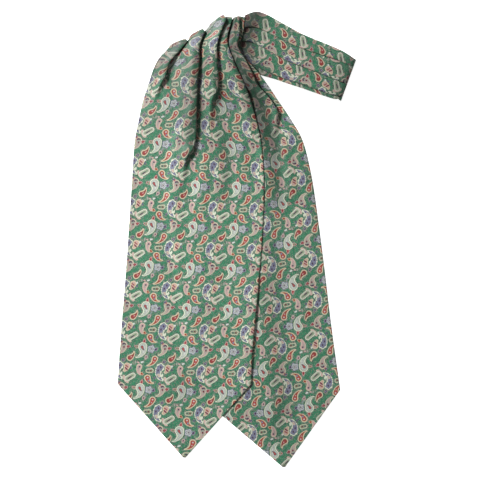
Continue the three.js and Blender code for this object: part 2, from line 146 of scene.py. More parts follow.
# A motif is a drop with a bent tail. head is the middle of its round end, turn the way its tail
# sets out in degrees, length how far it goes and bend how far it curves to its left by the end.
# radii are at the head and at the tail, petals the waves round its edge and their depth, and
# rings the inks from its edge inwards, each with the depth where it starts.
MOTIFS = [
    # lilac flower, its stem, bud and spot
    dict(head=(8.9, 1.6), turn=0, length=0.4, bend=0, radii=(3.6, 3.6), petals=(5, 0.5),
         rings=((0, "lilac"), (0.7, "white"), (1.5, "slate"), (2.1, "white"), (2.9, "plum"))),
    dict(head=(6.6, -2.6), turn=-122, length=4.0, bend=0.5, radii=(0.9, 0.7), petals=(0, 0),
         rings=((0, "sage"), (0.5, "lilac"))),
    dict(head=(4.3, -6.6), turn=-110, length=1.6, bend=0, radii=(1.9, 1.2), petals=(0, 0),
         rings=((0, "grey"), (0.5, "pink"), (1.2, "plum"))),
    dict(head=(13.4, 1.2), turn=60, length=1.2, bend=0, radii=(1.5, 0.9), petals=(0, 0),
         rings=((0, "lilac"), (0.5, "plum"))),
    # big ivory paisley
    dict(head=(0.2, 3.3), turn=-84, length=10.0, bend=-5.2, radii=(4.6, 1.5), petals=(0, 0),
         rings=((0, "ivory"), (1.0, "sage"), (1.4, "white"), (2.1, "grey"), (2.5, "white"))),
    dict(head=(-0.4, 3.2), turn=-62, length=3.4, bend=0.3, radii=(1.6, 0.8), petals=(0, 0),
         rings=((0, "grey"), (0.35, "plum"), (0.8, "rose"))),
    dict(head=(1.3, 8.9), turn=80, length=2.0, bend=0, radii=(1.6, 0.8), petals=(0, 0),
         rings=((0, "pink"), (0.45, "rose"), (1.0, "wine"))),
    dict(head=(-5.8, 3.2), turn=170, length=1.4, bend=0, radii=(1.7, 1.0), petals=(0, 0),
         rings=((0, "pink"), (0.5, "rust"), (1.1, "rose"))),
    # pink paisley with a dark comma
    dict(head=(22.0, 4.0), turn=-92, length=8.4, bend=-4.0, radii=(3.7, 1.3), petals=(0, 0),
         rings=((0, "cream"), (0.8, "sage"), (1.1, "pink"), (2.0, "grey"))),
    dict(head=(21.4, 5.2), turn=20, length=2.2, bend=-0.9, radii=(0.85, 0.6), petals=(0, 0),
         rings=((0, "plum"),)),
    dict(head=(22.5, 1.9), turn=90, length=0.6, bend=0, radii=(0.8, 0.7), petals=(0, 0),
         rings=((0, "wine"),)),
    dict(head=(26.7, 2.9), turn=20, length=1.4, bend=0, radii=(1.8, 1.0), petals=(0, 0),
         rings=((0, "pink"), (0.5, "wine"), (1.2, "rose"))),
    dict(head=(19.9, 7.4), turn=120, length=1.2, bend=0, radii=(1.5, 0.9), petals=(0, 0),
         rings=((0, "pink"), (0.5, "rust"))),
    # long red paisley
    dict(head=(13.1, -8.1), turn=-116, length=9.4, bend=-2.8, radii=(3.2, 1.0), petals=(0, 0),
         rings=((0, "cream"), (0.6, "peach"), (1.1, "red"), (2.0, "rose"))),
    dict(head=(13.1, -8.0), turn=0, length=0.2, bend=0, radii=(0.85, 0.85), petals=(0, 0),
         rings=((0, "pink"), (0.4, "white"))),
    dict(head=(12.1, -11.0), turn=0, length=0.2, bend=0, radii=(0.6, 0.6), petals=(0, 0),
         rings=((0, "pink"),)),
    # short red paisley
    dict(head=(29.1, -8.2), turn=38, length=6.4, bend=1.7, radii=(3.2, 1.2), petals=(0, 0),
         rings=((0, "cream"), (0.5, "peach"), (1.05, "wine"), (1.6, "red"))),
    dict(head=(30.2, -7.4), turn=40, length=1.2, bend=0, radii=(0.8, 0.5), petals=(0, 0),
         rings=((0, "rose"), (0.3, "pink"))),
    # pink bean with its crown and bud
    dict(head=(-1.8, -16.6), turn=-104, length=6.6, bend=2.0, radii=(2.8, 1.7), petals=(0, 0),
         rings=((0, "cream"), (0.6, "pink"), (2.0, "grey"))),
    dict(head=(-1.7, -16.8), turn=0, length=0.2, bend=0, radii=(0.8, 0.8), petals=(0, 0),
         rings=((0, "plum"),)),
    dict(head=(0.9, -23.6), turn=-30, length=1.2, bend=0, radii=(1.5, 0.9), petals=(0, 0),
         rings=((0, "peach"), (0.5, "red"))),
    dict(head=(0.2, -12.2), turn=20, length=1.4, bend=0, radii=(0.9, 0.7), petals=(0, 0),
         rings=((0, "white"),)),
    dict(head=(-2.9, -12.6), turn=160, length=1.0, bend=0, radii=(0.8, 0.6), petals=(0, 0),
         rings=((0, "pink"),)),
    # small eye
    dict(head=(6.7, -20.3), turn=0, length=3.6, bend=0.2, radii=(2.1, 2.3), petals=(0, 0),
         rings=((0, "cream"), (0.7, "sage"))),
    dict(head=(6.9, -20.3), turn=0, length=0.3, bend=0, radii=(0.65, 0.65), petals=(0, 0),
         rings=((0, "plum"),)),
    dict(head=(9.7, -20.2), turn=0, length=0.3, bend=0, radii=(0.9, 0.9), petals=(0, 0),
         rings=((0, "rust"), (0.4, "plum"))),
    # tall lilac leaf with a scalloped edge, its hook and bud
    dict(head=(19.4, -16.2), turn=-114, length=10.4, bend=4.6, radii=(3.9, 2.6), petals=(15, 0.35),
         rings=((0, "ivory"), (1.0, "slate"), (1.5, "lilac"), (2.6, "slate"), (3.1, "lilac"))),
    dict(head=(17.6, -24.0), turn=-60, length=1.8, bend=0, radii=(1.3, 1.0), petals=(0, 0),
         rings=((0, "cream"), (0.6, "pink"))),
    dict(head=(20.6, -25.0), turn=12, length=1.6, bend=0.8, radii=(1.3, 0.9), petals=(0, 0),
         rings=((0, "ivory"),)),
    dict(head=(17.1, -19.9), turn=75, length=0.8, bend=0, radii=(0.7, 0.7), petals=(0, 0),
         rings=((0, "plum"),)),
    dict(head=(19.3, -16.6), turn=75, length=0.8, bend=0, radii=(0.7, 0.6), petals=(0, 0),
         rings=((0, "plum"),)),
    dict(head=(22.7, -10.9), turn=50, length=1.2, bend=0, radii=(1.9, 1.2), petals=(0, 0),
         rings=((0, "grey"), (0.5, "plum"), (1.2, "lilac"))),
    # small striped paisley
    dict(head=(26.9, -16.6), turn=-104, length=4.8, bend=-0.8, radii=(3.3, 1.7), petals=(0, 0),
         rings=((0, "cream"), (0.6, "peach"), (1.2, "pink"))),
    dict(head=(25.6, -16.0), turn=-38, length=2.6, bend=0, radii=(0.6, 0.6), petals=(0, 0),
         rings=((0, "rust"),)),
    dict(head=(25.2, -18.4), turn=-42, length=2.6, bend=0, radii=(0.65, 0.65), petals=(0, 0),
         rings=((0, "wine"),)),
    dict(head=(30.4, -15.2), turn=30, length=0.4, bend=0, radii=(0.9, 0.9), petals=(0, 0),
         rings=((0, "white"),)),
    dict(head=(32.8, -13.6), turn=30, length=0.3, bend=0, radii=(0.7, 0.7), petals=(0, 0),
         rings=((0, "sage"),)),
    dict(head=(30.4, -18.0), turn=-60, length=0.8, bend=0, radii=(0.9, 0.6), petals=(0, 0),
         rings=((0, "slate"),)),
    # red comma
    dict(head=(6.9, -27.6), turn=-66, length=6.8, bend=2.8, radii=(3.4, 1.2), petals=(0, 0),
         rings=((0, "cream"), (0.5, "peach"), (1.15, "red"), (2.2, "rose"))),
    dict(head=(7.0, -27.2), turn=0, length=0.2, bend=0, radii=(0.85, 0.85), petals=(0, 0),
         rings=((0, "pink"), (0.35, "white"))),
    dict(head=(8.0, -30.0), turn=-60, length=0.8, bend=0, radii=(0.8, 0.6), petals=(0, 0),
         rings=((0, "lilac"),)),
    # scroll
    dict(head=(24.3, -27.2), turn=-66, length=6.6, bend=1.2, radii=(1.3, 1.2), petals=(0, 0),
         rings=((0, "cream"), (0.5, "pink"))),
    dict(head=(27.8, -29.2), turn=33, length=6.6, bend=0, radii=(2.8, 2.6), petals=(0, 0),
         rings=((0, "ivory"), (0.75, "grey"), (1.3, "cream"), (1.7, "sage"))),
    dict(head=(29.0, -29.0), turn=36, length=3.2, bend=0, radii=(0.6, 0.5), petals=(0, 0),
         rings=((0, "plum"),)),
    # loose dots on the ground
    dict(head=(15.8, -3.2), turn=30, length=1.0, bend=0, radii=(0.7, 0.5), petals=(0, 0),
         rings=((0, "sage"),)),
    dict(head=(35.2, -13.0), turn=90, length=1.4, bend=0, radii=(0.7, 0.6), petals=(0, 0),
         rings=((0, "grey"),)),
    dict(head=(13.6, -27.6), turn=40, length=1.2, bend=0, radii=(0.7, 0.6), petals=(0, 0),
         rings=((0, "slate"),)),
    dict(head=(35.0, 2.6), turn=80, length=1.2, bend=0, radii=(0.7, 0.6), petals=(0, 0),
         rings=((0, "sage"),)),
    dict(head=(-5.2, -6.4), turn=40, length=1.0, bend=0, radii=(0.7, 0.5), petals=(0, 0),
         rings=((0, "sage"),)),
    dict(head=(18.6, -33.2), turn=10, length=1.4, bend=0.3, radii=(0.8, 0.6), petals=(0, 0),
         rings=((0, "slate"),)),
]


def linear(ink):
    """An ink's screen colour as linear light."""
    value = np.array(INK[ink]) / 255
    light = np.where(value <= 0.04045, value / 12.92, ((value + 0.055) / 1.055) ** 2.4)
    return (*light, 1.0)


class Nodes:
    """Short forms for the nodes of one tree."""

    def __init__(self, tree):
        self.tree = tree

    def add(self, kind, inputs, output=0, **settings):
        node = self.tree.nodes.new(kind)
        for name, value in settings.items():
            setattr(node, name, value)
        for key, value in inputs.items():
            if isinstance(value, bpy.types.NodeSocket):
                self.tree.links.new(value, node.inputs[key])
            else:
                node.inputs[key].default_value = value
        return node.outputs[output]

    def math(self, operation, *values, clamp=False):
        inputs = dict(enumerate(values))
        return self.add("ShaderNodeMath", inputs, operation=operation, use_clamp=clamp)

    def vector(self, operation, *values, output=0):
        inputs = dict(enumerate(values))
        return self.add("ShaderNodeVectorMath", inputs, output, operation=operation)

    def blend(self, factor, below, above):
        node = self.tree.nodes.new("ShaderNodeMix")
        node.data_type = "RGBA"
        for key, value in ((0, factor), (6, below), (7, above)):
            if isinstance(value, bpy.types.NodeSocket):
                self.tree.links.new(value, node.inputs[key])
            else:
                node.inputs[key].default_value = value
        return node.outputs[2]


# From the head to the tail's end, a motif's own frame turns CURL times the angle of its bend
CURL = 2.3


def draw_motif(nodes, place, ground, motif):
    """Draws one motif over the ground. Gives the new colour and the depth inside the motif.

    In the motif's own frame, x runs along the tail. The frame turns with the distance from the
    head, so that the tail curls. With t = x / length, from 0 to 1, the depth inside the drop is
    its radius at t less the distance to the straight line (t length, 0).
    """
    x0, y0 = motif["head"]
    half = CHART / 2
    moved = nodes.vector("SUBTRACT", place, (x0 - half, y0 - half, 0))
    wrapped = nodes.vector("WRAP", moved, (CHART, CHART, 1), (0, 0, -1))
    local = nodes.vector("SUBTRACT", wrapped, (half, half, 0))
    reach = np.hypot(motif["length"], motif["bend"])
    swing = np.arctan2(motif["bend"], motif["length"])
    base = np.radians(motif["turn"]) - (CURL - 1) * swing
    if motif["bend"]:
        distance = nodes.vector("LENGTH", local, output=1)
        angle = nodes.math("MULTIPLY_ADD", distance, -CURL * swing / reach, -base)
    else:
        angle = -base
    turned = nodes.add(
        "ShaderNodeVectorRotate", {"Vector": local, "Angle": angle}, rotation_type="Z_AXIS"
    )
    split = nodes.tree.nodes.new("ShaderNodeSeparateXYZ")
    nodes.tree.links.new(turned, split.inputs[0])
    x, y = split.outputs[0], split.outputs[1]
    t = nodes.math("DIVIDE", x, reach, clamp=True)
    dx = nodes.math("MULTIPLY_ADD", t, -reach, x)
    away = nodes.math("SQRT", nodes.math("MULTIPLY_ADD", dx, dx, nodes.math("MULTIPLY", y, y)))
    head, tail = motif["radii"]
    depth = nodes.math("SUBTRACT", nodes.math("MULTIPLY_ADD", t, tail - head, head), away)
    count, waves = motif["petals"]
    if count:
        bearing = nodes.math("ARCTAN2", y, nodes.math("SUBTRACT", x, reach / 2))
        wave = nodes.math("COSINE", nodes.math("MULTIPLY", bearing, float(count)))
        depth = nodes.math("MULTIPLY_ADD", wave, waves, depth)
    colour = linear(motif["rings"][0][1])
    for start, ink in motif["rings"][1:]:
        colour = nodes.blend(nodes.math("GREATER_THAN", depth, start), colour, linear(ink))
    return nodes.blend(nodes.math("GREATER_THAN", depth, 0.0), ground, colour), depth


def paisley_print():
    """The print as a node group, from cloth coordinates in repeats to a colour."""
    tree = bpy.data.node_groups.new("paisley print", "ShaderNodeTree")
    tree.interface.new_socket("Cloth", in_out="INPUT", socket_type="NodeSocketVector")
    tree.interface.new_socket("Color", in_out="OUTPUT", socket_type="NodeSocketColor")
    nodes = Nodes(tree)
    cloth = tree.nodes.new("NodeGroupInput").outputs[0]
    place = nodes.vector("MULTIPLY", cloth, (CHART, CHART, 0))
    mottle = nodes.add("ShaderNodeTexNoise", {"Vector": place, "Scale": 0.35, "Detail": 3.0})
    colour = nodes.blend(
        nodes.add("ShaderNodeMapRange", {"Value": mottle, "From Min": 0.35, "From Max": 0.65}),
        linear("green_deep"),
        linear("green"),
    )
    deepest = -9.0
    for motif in MOTIFS:
        colour, depth = draw_motif(nodes, place, colour, motif)
        deepest = nodes.math("MAXIMUM", deepest, depth)
    # A fringe of tiny leaves and dots round the motifs, in greys, pinks and plum
    leaves = nodes.add("ShaderNodeTexNoise", {"Vector": place, "Scale": 0.95, "Detail": 1.0})
    tints = nodes.add("ShaderNodeTexNoise", {"Vector": place, "Scale": 0.8, "Detail": 0.0}, output=1)
    near = nodes.add(
        "ShaderNodeMapRange", {"Value": deepest, "From Min": -1.9, "From Max": -0.2, "To Max": 0.17}
    )
    leafy = nodes.math("GREATER_THAN", nodes.math("ADD", leaves, near), 0.58)
    outside = nodes.math("LESS_THAN", deepest, 0.0)
    split = tree.nodes.new("ShaderNodeSeparateColor")
    tree.links.new(tints, split.inputs[0])
    pinkish = nodes.math("GREATER_THAN", split.outputs[0], 0.5)
    fringe = nodes.blend(pinkish, linear("fringe"), linear("fringe_pink"))
    darkish = nodes.math("GREATER_THAN", split.outputs[1], 0.56)
    fringe = nodes.blend(darkish, fringe, linear("fringe_dark"))
    shown = nodes.math("MULTIPLY", leafy, nodes.math("MULTIPLY", outside, 0.8))
    colour = nodes.blend(shown, colour, fringe)
    # Fine detail inside the motifs, too small to read at this scale
    detail = nodes.add("ShaderNodeTexNoise", {"Vector": place, "Scale": 1.5, "Detail": 1.5})
    inside = nodes.math("GREATER_THAN", deepest, 0.9)
    lines = nodes.add(
        "ShaderNodeMapRange", {"Value": detail, "From Min": 0.52, "From Max": 0.62, "To Max": 0.5}
    )
    colour = nodes.blend(nodes.math("MULTIPLY", inside, lines), colour, linear("line"))
    tree.links.new(colour, tree.nodes.new("NodeGroupOutput").inputs[0])
    return tree


PRINT = paisley_print()
# How dark a full painted shade is, and the frequencies of the rib and of the slub
PAINTED_SHADE_DARK = 0.8
RIB = 410.0
SLUB = 60.0


def printed_silk(name, shade):
    """Silk twill with the print.

    shade is painted shade: it darkens the whole colour of a piece that lies in poorer light. The rib
    is the sine of RIB times the sum of both cloth coordinates, so it runs on the diagonal.
    """
    material = bpy.data.materials.new(name)
    material.use_nodes = True
    tree = material.node_tree
    nodes = Nodes(tree)
    shader = tree.nodes["Principled BSDF"]
    cloth = nodes.add("ShaderNodeUVMap", {}, uv_map="cloth")
    inked = tree.nodes.new("ShaderNodeGroup")
    inked.node_tree = PRINT
    tree.links.new(cloth, inked.inputs[0])
    # A slow change of tone over the cloth, and the twill's fine diagonal rib
    tone = nodes.add("ShaderNodeTexNoise", {"Vector": cloth, "Scale": 1.1, "Detail": 2.0})
    span = {"From Min": 0.3, "From Max": 0.7, "To Min": shade * 0.94, "To Max": shade * 1.05}
    value = nodes.add("ShaderNodeMapRange", {"Value": tone, **span})
    dyed = nodes.add("ShaderNodeHueSaturation", {"Value": value, "Color": inked.outputs[0]})
    # Painted shade: an attribute of the mesh blends the colour toward a dark ink in folds, beside
    # borders and where light is poor
    painted_shade = nodes.add("ShaderNodeAttribute", {}, output=2, attribute_name="painted_shade")
    depth = nodes.add("ShaderNodeMapRange", {"Value": painted_shade, "To Max": PAINTED_SHADE_DARK})
    tree.links.new(nodes.blend(depth, dyed, linear("painted_shade")), shader.inputs["Base Color"])
    rib = nodes.vector("DOT_PRODUCT", cloth, (RIB, RIB, 0.0), output=1)
    slub = nodes.add("ShaderNodeTexNoise", {"Vector": cloth, "Scale": SLUB, "Detail": 3.0})
    height = nodes.math("MULTIPLY_ADD", nodes.math("SINE", rib), 0.25, slub)
    bump = nodes.add("ShaderNodeBump", {"Height": height, "Strength": 0.25, "Distance": 0.0001})
    tree.links.new(bump, shader.inputs["Normal"])
    rough = nodes.add("ShaderNodeMapRange", {"Value": slub, "To Min": 0.42, "To Max": 0.6})
    tree.links.new(rough, shader.inputs["Roughness"])
    shader.inputs["Specular IOR Level"].default_value = 0.35
    shader.inputs["Sheen Weight"].default_value = 0.15
    shader.inputs["Sheen Roughness"].default_value = 0.4
    return material


# A blade's section is a line across it whose pleats lie in three layers. In the neck each pleat
# turns down through a hairpin, runs back and turns up again, and lower down it opens out.
# Both blades' sizes: the silk's thickness, the solid's wall, a pleat's turns and its painted shade.
SILK = 1.0
WALL = 1.2
PLEAT_LAYER = 2.4
FULL_TURN = 3.0
CLIMB = 14.0
CLEARANCE = 0.8
DEEP_PLEAT = 11
PAINTED_SHADE_WIDTH = 5.5
# The blunt tip's width, how far the rolled layers reach out, how much their axis is raised, and
# the share of a bulge each way
TIP_WIDTH = 3.0
ROLL_REACH = 0.75
ROLL_RAISED = 0.05
BELLY_SHARE = 0.7
MM = 0.001


def between(rows, at):
    """Values between the rows of a table by a Catmull-Rom curve, for an array of row numbers."""
    rows = np.array(rows, float)
    first = np.clip(np.floor(at).astype(int), 0, len(rows) - 2)
    t = (at - first).reshape(-1, *[1] * (rows.ndim - 1))
    a, b, c, d = (rows[np.clip(first + step, 0, len(rows) - 1)] for step in (-1, 0, 1, 2))
    return b + 0.5 * t * (c - a + t * (2 * a - 5 * b + 4 * c - d + t * (3 * (b - c) + d - a)))


def along(marks, values, p):
    """Values along each section by a Hermite curve through its marks, straight past its ends."""
    slopes = np.empty_like(values)
    slopes[:, 1:-1] = (values[:, 2:] - values[:, :-2]) / (marks[:, 2:] - marks[:, :-2])
    slopes[:, 0] = (values[:, 1] - values[:, 0]) / (marks[:, 1] - marks[:, 0])
    slopes[:, -1] = (values[:, -1] - values[:, -2]) / (marks[:, -1] - marks[:, -2])
    found = values[:, :1] + slopes[:, :1] * (p - marks[:, :1])
    for i in range(marks.shape[1] - 1):
        width = (marks[:, i + 1] - marks[:, i])[:, None]
        t = np.clip((p - marks[:, i, None]) / width, 0, 1)
        low, high = values[:, i, None], values[:, i + 1, None]
        curve = low + (high - low) * t * t * (3 - 2 * t) + width * t * (1 - t) * (
            (1 - t) * slopes[:, i, None] - t * slopes[:, i + 1, None]
        )
        found = np.where(p > marks[:, i, None], curve, found)
    past = values[:, -1:] + slopes[:, -1:] * (p - marks[:, -1:])
    return np.where(p > marks[:, -1:], past, found)


def ease(low, high, x):
    """A smooth step, 0 below low and 1 above high, by t * t * (3 - 2 * t)."""
    t = np.clip((x - low) / (high - low), 0, 1)
    return t * t * (3 - 2 * t)


def pleat(back, turns=8, runs=5):
    """A pleat's line for each section: a turn down, the cloth run back, and a turn up.

    Its places and heights are running sums of short steps along a heading that turns through
    half a circle and back. Gives them, how far they reach, and how far the line drops.
    """
    turn = np.pi * np.minimum(1, back / FULL_TURN)[:, None]
    straight = np.maximum(0.5, back - PLEAT_LAYER)[:, None]
    part = (np.arange(turns) + 0.5) / turns
    heading = -turn * np.concatenate([part, np.ones(runs), 1 - part])
    hairpin = np.full((len(back), turns), np.pi * PLEAT_LAYER / 2 / turns)
    step = np.concatenate([hairpin, np.repeat(straight / runs, runs, axis=1), hairpin], axis=1)
    start = np.zeros((len(back), 1))
    x = np.concatenate([start, np.cumsum(step * np.cos(heading), axis=1)], axis=1)
    z = np.concatenate([start, np.cumsum(step * np.sin(heading), axis=1)], axis=1)
    return x, z, x.max(axis=1), -z[:, -1]


def folded_line(marks, backs, strips):
    """The middle line of each section as places along it, heights and painted shade, pleats folded.

    strips holds the number of points on each strip of cloth between the folds. The painted shade
    is 1 in a deep pleat, and beyond its fold it falls off over the pleat's shade width as
    exp(-(distance / width) squared).
    """
    def fading(p):
        return pleat_shade * np.exp(-((np.maximum(0, p - clear[:, None]) / PAINTED_SHADE_WIDTH) ** 2))

    places, heights, painted_shades = [], [], []
    start = clear = marks[:, 0]
    pleat_shade = np.zeros(len(marks))[:, None]
    for k in range(backs.shape[1]):
        x, z, reach, drop = pleat(backs[:, k])
        end = marks[:, k + 1] - reach
        top = marks[:, k + 1] - backs[:, k] - CLEARANCE
        foot = np.maximum(top - CLIMB, clear + CLEARANCE)
        t = np.arange(strips[k]) / strips[k]
        p = start[:, None] + (end - start)[:, None] * t
        places += [p, end[:, None] + x[:, :-1]]
        heights += [drop[:, None] * ease(foot[:, None], top[:, None], p), drop[:, None] + z[:, :-1]]
        painted_shades.append(fading(p))
        start, clear = end + x[:, -1], marks[:, k + 1]
        pleat_shade = np.minimum(1, (backs[:, k] / DEEP_PLEAT) ** 1.3)[:, None]
        painted_shades.append(pleat_shade * ease(0, 1, np.linspace(0, 2, x.shape[1] - 1)))
    t = np.linspace(0, 1, strips[-1])
    places.append(start[:, None] + (marks[:, -1] - start)[:, None] * t)
    heights.append(np.zeros_like(places[-1]))
    painted_shades.append(fading(places[-1]))
    return (np.concatenate(part, axis=1) for part in (places, heights, painted_shades))


def wall_ring(p, h):
    """Both sides of a wall round its middle line, and its rounded borders, as one closed ring.

    Gives places and heights round the ring, and which point of the middle line each one is at.
    """
    dp, dh = np.gradient(p, axis=1), np.gradient(h, axis=1)
    size = np.hypot(dp, dh)
    across, up = -dh / size * SILK / 2, dp / size * SILK / 2
    upper, lower = (p + across, h + up), (p - across, h - up)
    bulge = SILK * 0.4
    right = (p[:, -1:] + bulge * dp[:, -1:] / size[:, -1:], h[:, -1:])
    left = (p[:, :1] - bulge * dp[:, :1] / size[:, :1], h[:, :1])
    ring = [np.concatenate([upper[k], right[k], lower[k][:, ::-1], left[k]], axis=1) for k in (0, 1)]
    index = np.arange(p.shape[1])
    return ring[0], ring[1], np.concatenate([index, [index[-1]], index[::-1], [0]])


def soft_folds(x, y, folds):
    """The height of soft folds over places in plan, in millimetres.

    Each fold is a path, a height and a width. It is highest half way, dies out at both ends, and
    falls off as exp(-(distance / width) squared) to its sides.
    """
    total = np.zeros_like(x)
    for path, height, width in folds:
        path = np.array(path, float)
        steps = np.diff(path, axis=0)
        lengths = np.hypot(*steps.T)
        nearest, place = np.full_like(x, 1e9), np.zeros_like(x)
        for start, step, length, done in zip(path, steps, lengths, np.cumsum(lengths) - lengths):
            t = np.clip(((x - start[0]) * step[0] + (y - start[1]) * step[1]) / length**2, 0, 1)
            away = np.hypot(x - start[0] - t * step[0], y - start[1] - t * step[1])
            place = np.where(away < nearest, (done + t * length) / lengths.sum(), place)
            nearest = np.minimum(away, nearest)
        total += height * np.sin(np.pi * place) ** 0.6 * np.exp(-((nearest / width) ** 2))
    return total


def add_painted_shade(painted_shade, points, shade_paths):
    """Painted shade with that of shade paths added, each a path, how dark it is painted and a width."""
    path_shade = np.clip(soft_folds(points[..., 0], points[..., 1], shade_paths), 0, 1)
    return 1 - (1 - painted_shade) * (1 - path_shade)


def blade_surface(plan, back, rise, at, strips, lift, tip, shares, roll, datum, belly=0.0):
    """A blade's rings of points and their cloth coordinates, in millimetres.

    A section's middle line goes through its plan points, and its height is half the wall, plus
    rise, plus lift, plus the pleats'. roll holds the angles that turn the first section over at
    the neck, and shares how far the last one has narrowed to the tip. belly is how far the first
    strip bulges up and to the left at the neck, as the sine of half a circle over its width.
    Cloth coordinates run across the cloth from the datum border and up it from its corner.
    """
    plan, rise, backs = between(plan, at), between(rise, at), np.maximum(0, between(back, at))
    steps = np.hypot(*np.moveaxis(np.diff(plan, axis=1), 2, 0))
    marks = np.concatenate([np.zeros((len(at), 1)), np.cumsum(steps, axis=1)], axis=1)
    # Painted shade comes with the section: dark deep in the pleats and just beyond their folds
    line_p, line_h, painted_shade = folded_line(marks, backs, strips)
    ring_p, ring_h, source = wall_ring(line_p, line_h)
    x, y = (along(marks, plan[..., k], ring_p) for k in (0, 1))
    bulge = np.sin(np.pi * np.clip(ring_p / marks[:, 1:2], 0, 1))
    out = BELLY_SHARE * belly * (1 - ease(0.0, 3.5, at))[:, None] * bulge
    x, y = x - out, y + out
    z = WALL / 2 + np.maximum(0, along(marks, rise, ring_p)) + lift(x, y) + ring_h

    # The grain runs up the borders, and in the neck along the folds too
    grain = -np.gradient(plan, at, axis=0)
    grain /= np.linalg.norm(grain, axis=-1, keepdims=True)
    share = (marks / marks[:, -1:])[..., None]
    level = grain[:, :1] * (1 - share) + grain[:, -1:] * share
    grain = level + (grain - level) * (1 - ease(3.0, 7.0, at))[:, None, None]
    lean = np.stack([along(marks, grain[..., k], line_p) for k in (0, 1)], axis=-1)
    lean /= np.linalg.norm(lean, axis=-1, keepdims=True)
    middle = np.stack([along(marks, plan[..., k], line_p) for k in (0, 1)], axis=-1)
    middle += np.stack([-out[:, : line_p.shape[1]], out[:, : line_p.shape[1]]], axis=-1)
    step, side = np.diff(middle, axis=1), (lean[:, 1:] + lean[:, :-1]) / 2
    square = step[..., 0] * side[..., 1] - step[..., 1] * side[..., 0]
    square = np.hypot(square, np.diff(line_h, axis=1))
    across = np.concatenate([np.zeros((len(at), 1)), np.cumsum(square, axis=1)], axis=1)
    across -= across[:, datum, None]
    climb, run = middle[:-1] - middle[1:], (lean[1:] + lean[:-1]) / 2
    first = np.concatenate([[0], np.cumsum((step[-1] * side[-1]).sum(axis=-1))])
    first -= first[datum]
    gained = np.cumsum((climb * run).sum(axis=-1)[::-1], axis=0)[::-1]
    upward = first + np.concatenate([gained, 0 * first[None]])
    cloth = np.stack([across, upward], axis=-1)[:, source]
    lean, painted_shade = lean[:, source], painted_shade[:, source]

    # The tip narrows to a blunt point
    ends = plan[-1, 0], plan[-1, -1]
    part = (x[-1] - ends[0][0]) / (ends[1][0] - ends[0][0])
    shares = np.array(shares, float)[:, None]
    shift_x = (tip[0] + (part - 0.5) * TIP_WIDTH - x[-1]) * shares
    shift_y = (tip[1] - y[-1]) * shares
    tip_x, tip_y = x[-1] + shift_x, y[-1] + shift_y
    east, north = lean[-1, :, 0], lean[-1, :, 1]
    shift = np.stack(
        [shift_x * north - shift_y * east, shift_x * east + shift_y * north], axis=-1
    )
    tip_z = WALL / 2 + lift(tip_x, tip_y) + ring_h[-1]
    points = [np.stack([x, y, z], axis=-1), np.stack([tip_x, tip_y, tip_z], axis=-1)]
    cloths = [cloth, cloth[-1] + shift]
    painted_shades = [painted_shade, np.repeat(painted_shade[-1:], len(shares), axis=0)]

    # The roll turns each layer about half the height of the stack below it
    if len(roll):
        before, after = (
            [along(marks[:1], plan[:1, :, k], ring_p[:1] + step) for k in (0, 1)]
            for step in (-0.5, 0.5)
        )
        east, north = before[1] - after[1], after[0] - before[0]
        size = np.hypot(east, north)
        east, north = east / size, north / size
        base = z[:1] - ring_h[:1]
        stack = base + 2 * PLEAT_LAYER * ease(marks[0, 0], marks[0, 1] - backs[0, 0], ring_p[:1])
        axis = (stack + WALL / 2) / 2 + ROLL_RAISED
        radius = z[:1] - axis
        turn = np.array(roll, float)[:, None]
        reach = ROLL_REACH * radius * np.sin(turn)
        rolled = x[:1] + east * reach, y[:1] + north * reach, axis + radius * np.cos(turn)
        points.insert(0, np.stack(rolled, axis=-1))
        arc = turn * np.abs(radius)
        up_x, up_y = lean[0, :, 0], lean[0, :, 1]
        over = np.stack(
            [arc * (east * up_y - north * up_x), arc * (east * up_x + north * up_y)], axis=-1
        )
        cloths.insert(0, cloth[:1] + over)
        painted_shades.insert(0, np.repeat(painted_shade[:1], len(roll), axis=0))
    return np.concatenate(points), np.concatenate(cloths), np.concatenate(painted_shades)


def print_from(cloth, points, anchor, turn=0):
    """Cloth coordinates turned by turn degrees and moved so that one paisley is at the anchor."""
    near = np.argmin(np.hypot(points[..., 0] - anchor[0], points[..., 1] - anchor[1]))
    at = points.reshape(-1, 3)[near, :2]
    moved = cloth - cloth.reshape(-1, 2)[near] + (at - anchor)
    c, s = np.cos(np.radians(turn)), np.sin(np.radians(turn))
    x, y = moved[..., 0], moved[..., 1]
    return np.stack([x * c - y * s, x * s + y * c], axis=-1)


